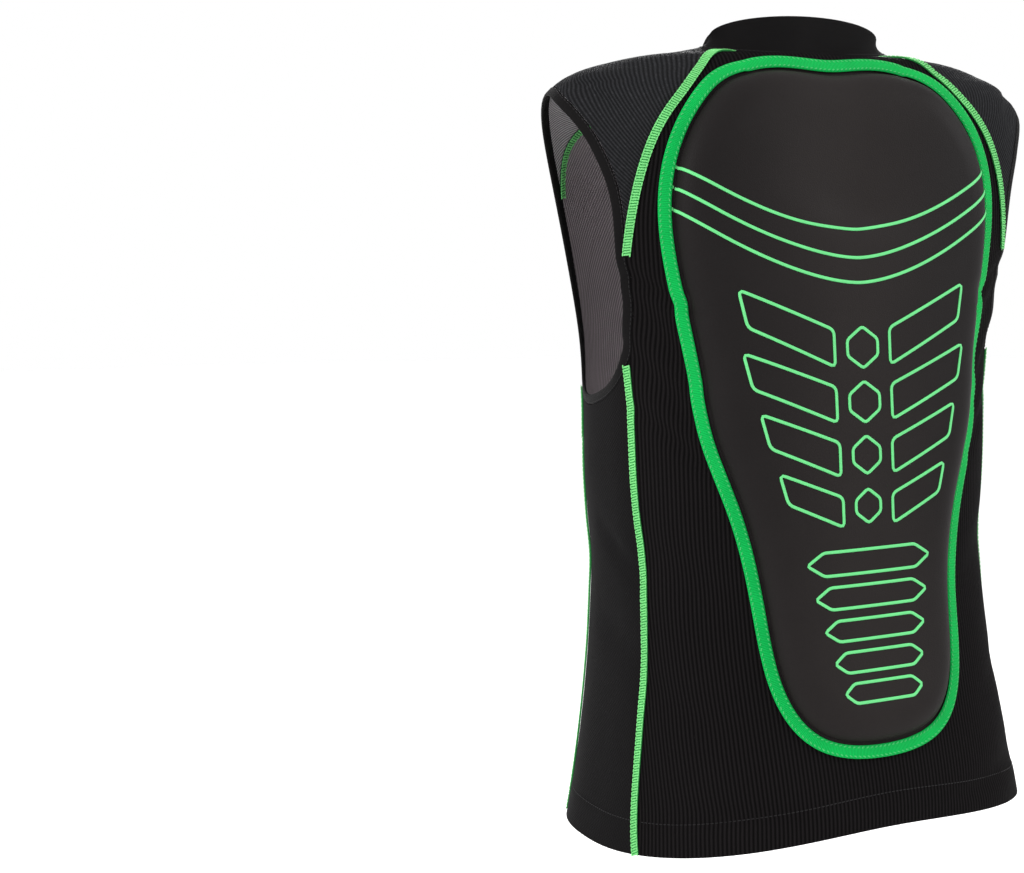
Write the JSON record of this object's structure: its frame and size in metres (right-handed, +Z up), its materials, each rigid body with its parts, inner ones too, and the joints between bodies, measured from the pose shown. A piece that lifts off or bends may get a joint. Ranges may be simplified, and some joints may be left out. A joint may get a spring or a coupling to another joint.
{
  "type": "back protector vest",
  "caption": "Sleeveless zip-front stretch vest with a moulded foam back pad under a bound edge, mesh shoulders, flat coloured seams and a stand-up V collar.",
  "frame": {"origin": "midway between the two shoulder points where the collar's seam is highest, where the worn vest rests on the shoulders", "axes": "+Z up the body, -Y to the front with the zip, +X to the wearer's left"},
  "size_m": [0.4306, 0.3008, 0.6573],
  "materials": {
    "shell_knit": "near-black stretch knit with fine upright ribs",
    "yoke_mesh": "dark grey airy mesh with light specks",
    "side_stretch": "smooth black stretch fabric, faintly perforated",
    "collar_binding": "smooth black elastic",
    "pad_cover": "smooth dark laminated cover with a soft sheen",
    "pocket_mesh": "maroon air mesh with diamond holes",
    "overlock": "dark green overlock tape",
    "seam_tape": "light green flat seam with dark edge threads",
    "pad_binding": "saturated green bound edge, stitched",
    "label": "soft moulded green patch with a stitched border",
    "zip_tape": "dark grey woven tape",
    "zip_coil": "dark nylon coil",
    "slider_metal": "bright nickel",
    "pull_rubber": "dark grey moulded rubber"
  },
  "bodies": {
    "vest": {"armhole_binding_left": "collar_binding", "armhole_binding_right": "collar_binding", "back_pad": "pad_cover", "back_shell": "shell_knit", "chest_label": "label", "collar": "collar_binding", "front_centre_left": "shell_knit", "front_centre_right": "shell_knit", "front_outer_left": "shell_knit", "front_outer_right": "shell_knit", "pad_binding": "pad_binding", "pad_pocket": "pocket_mesh", "pocket_edge_tape": "overlock", "princess_seam_left": "seam_tape", "princess_seam_right": "seam_tape", "raglan_seam_left": "seam_tape", "raglan_seam_right": "seam_tape", "shoulder_yoke_left": "yoke_mesh", "shoulder_yoke_right": "yoke_mesh", "side_back_seam_left": "seam_tape", "side_back_seam_right": "seam_tape", "side_front_seam_left": "seam_tape", "side_front_seam_right": "seam_tape", "side_panel_left": "side_stretch", "side_panel_right": "side_stretch", "zip_bottom_stop": "zip_coil", "zip_coil": "zip_coil", "zip_slider": "slider_metal", "zip_tape_left": "zip_tape", "zip_tape_right": "zip_tape"},
    "pull": {"zip_pull": "pull_rubber"}
  },
  "joints": [
    {"name": "pull_hinge", "type": "hinge", "parent": "vest", "child": "pull", "pos_m": [0, -0.08734, -0.14989], "axis": [-1, 0, 0], "range_deg": [0, 135]}
  ]
}
